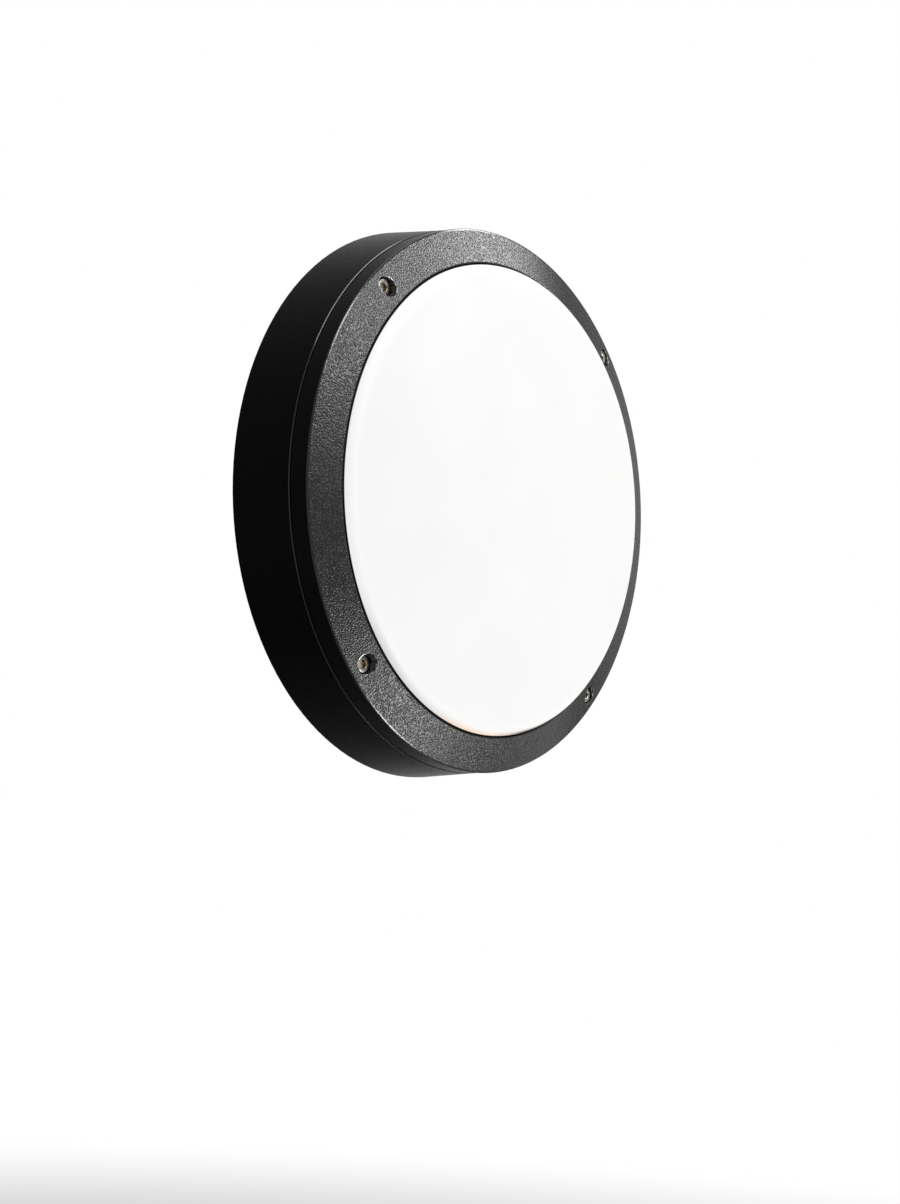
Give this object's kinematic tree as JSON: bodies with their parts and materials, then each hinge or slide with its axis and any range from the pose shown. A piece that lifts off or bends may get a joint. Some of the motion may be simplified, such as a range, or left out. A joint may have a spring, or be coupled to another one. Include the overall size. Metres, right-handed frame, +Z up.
{
  "type": "wall light",
  "caption": "Round surface-mounted wall light: black die-cast housing and sloped bezel held by socket screws, domed opal diffuser, LED board and driver inside.",
  "frame": {"origin": "centre of the wall fixing pattern, on the wall plane at the light's back", "axes": "the light faces -Y, its back meets the wall towards +Y, +Z is up"},
  "size_m": [0.2864, 0.0605, 0.2864],
  "materials": {
    "black_powder_coat": "fine-textured matt powder coat",
    "opal": "satin opal, lit from inside",
    "stainless": "bare stainless",
    "silicone": "matt silicone",
    "foam": "closed-cell foam",
    "black_rubber": "matt",
    "white_plastic": "moulded polyamide",
    "driver_plastic": "fine spark-eroded moulding",
    "connector_plastic": "moulded",
    "zinc_steel": "zinc plated",
    "tinned_copper": "tinned",
    "brass": "bare",
    "white_enamel": "white reflector paint",
    "board_white": "white solder mask on aluminium",
    "led_phosphor": "phosphor in a white frame",
    "brown_wire": "insulation",
    "blue_wire": "insulation",
    "green_wire": "green insulation with a yellow stripe",
    "red_wire": "insulation",
    "black_wire": "insulation"
  },
  "bodies": {
    "root": {"rear_housing": "black_powder_coat", "front_bezel": "black_powder_coat", "diffuser": "opal", "cover_screws": "stainless", "diffuser_gasket": "silicone", "wall_gasket": "foam", "fixing_hole_seals": "black_rubber", "cable_grommet": "black_rubber", "cable_clamp": "white_plastic", "cable_clamp_screws": "zinc_steel", "terminal_block": "white_plastic", "terminal_inserts": "brass", "terminal_screws": "zinc_steel", "terminal_block_screws": "zinc_steel", "earth_screw": "brass", "earth_washer": "zinc_steel", "earth_ring_terminal": "tinned_copper", "live_wire": "brown_wire", "neutral_wire": "blue_wire", "earth_wire": "green_wire", "driver_case": "driver_plastic", "driver_lid": "driver_plastic", "driver_screws": "zinc_steel", "gear_tray": "white_enamel", "gear_tray_screws": "zinc_steel", "tray_wire_bush": "black_rubber", "led_board": "board_white", "led_chips": "led_phosphor", "led_board_screws": "zinc_steel", "led_connector": "connector_plastic", "led_positive_wire": "red_wire", "led_negative_wire": "black_wire"}
  },
  "joints": []
}
